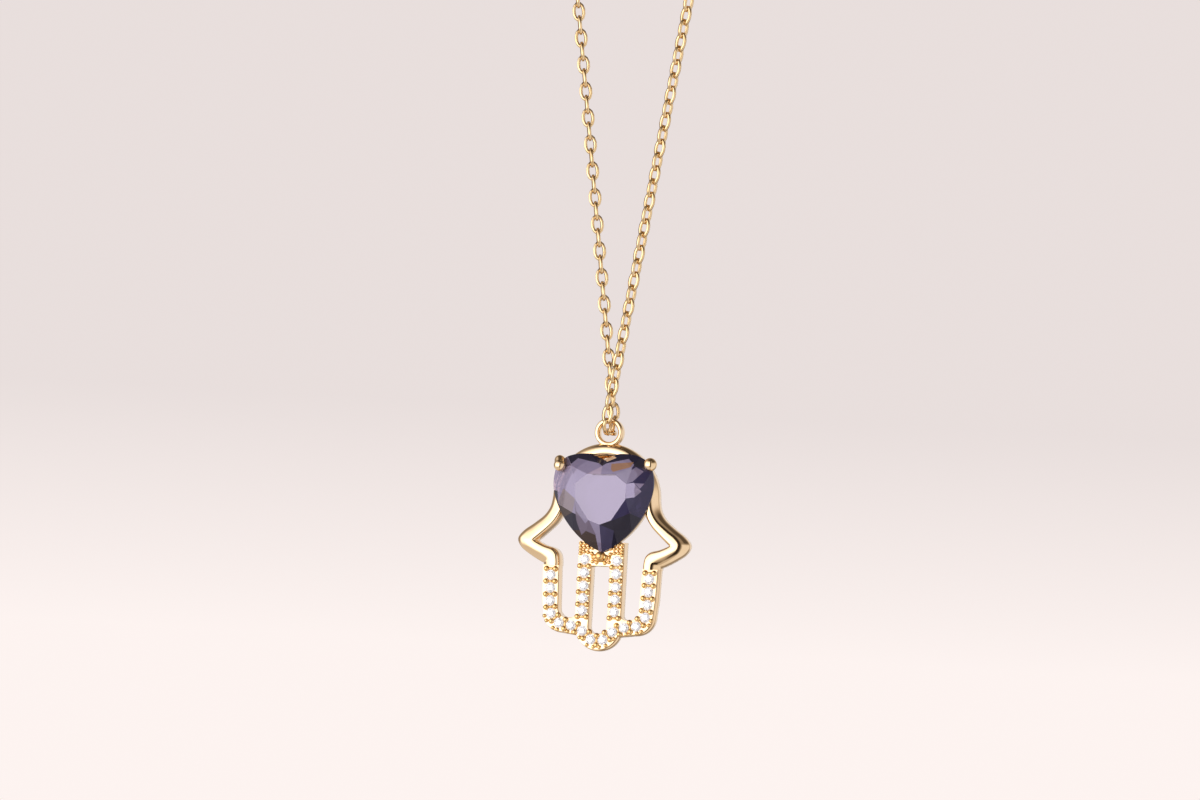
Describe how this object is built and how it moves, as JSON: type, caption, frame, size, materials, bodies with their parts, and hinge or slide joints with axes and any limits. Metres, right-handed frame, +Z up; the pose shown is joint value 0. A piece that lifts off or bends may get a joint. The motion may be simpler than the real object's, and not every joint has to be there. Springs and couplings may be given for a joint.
{
  "type": "hand pendant necklace",
  "caption": "Gold-tone necklace: a hand-shaped pendant with a violet heart stone and paved fingers hangs from a fine cable chain with a lobster clasp.",
  "frame": {"origin": "middle of the clasp, at the top centre of the loop, where the necklace lies on the nape or hangs from a hook", "axes": "+Z up along the hanging necklace, front of the pendant towards -Y, X across the pendant"},
  "size_m": [0.0528, 0.0047, 0.231],
  "materials": {
    "gold_casting": "polished pale gold plate",
    "violet_stone": "clear violet, cut and polished",
    "gold_chain": "bright gold plate",
    "gold_clasp": "bright gold plate",
    "pave_stone": "clear white, cut and polished"
  },
  "bodies": {
    "necklace": {"chain": "gold_chain", "clasp": "gold_clasp", "end_ring": "gold_clasp"},
    "pendant": {"frame": "gold_casting", "heart_stone": "violet_stone"}
  },
  "joints": [
    {"name": "pendant_swing", "type": "hinge", "parent": "necklace", "child": "pendant", "pos_m": [0, 0, -0.20697], "axis": [0, 1, 0], "range_deg": [-45, 45]}
  ]
}
